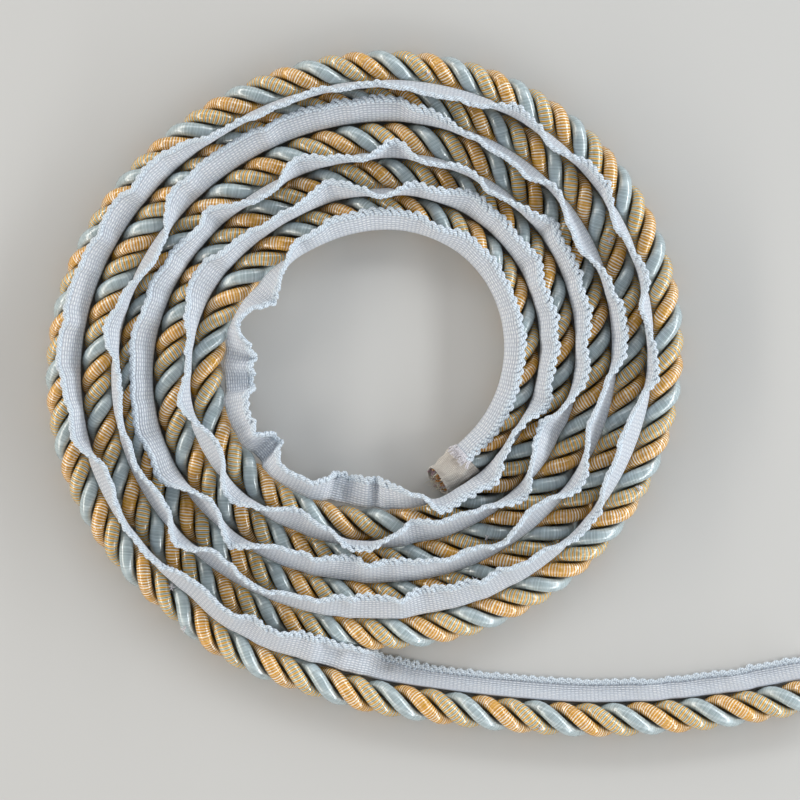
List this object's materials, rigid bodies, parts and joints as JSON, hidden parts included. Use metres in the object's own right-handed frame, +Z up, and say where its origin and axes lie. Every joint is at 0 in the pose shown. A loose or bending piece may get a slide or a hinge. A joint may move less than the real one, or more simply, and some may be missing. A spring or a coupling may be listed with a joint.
{
  "type": "coil of twisted cord trim",
  "caption": "Flat coil of twisted cord trim with a woven sewing lip, for edging cushions, curtains and upholstery.",
  "frame": {"origin": "bottom centre of the whole trim's box, on the surface that it lies on", "axes": "+Z up, +X along the longest side towards the tail's cut end, +Y away from the tail towards the back of the coil"},
  "size_m": [0.2256, 0.1988, 0.0166],
  "materials": {
    "rope": "three satin-wrapped plies, gold, gold banded with pale blue, and plain grey-blue",
    "lip": "matt woven tape, pale ice blue, with a looped edge",
    "cuff": "matt off-white gauze binding with frayed fibre ends"
  },
  "bodies": {
    "root": {"cord": "rope", "lip": "lip", "end_cuff": "cuff"}
  },
  "joints": []
}
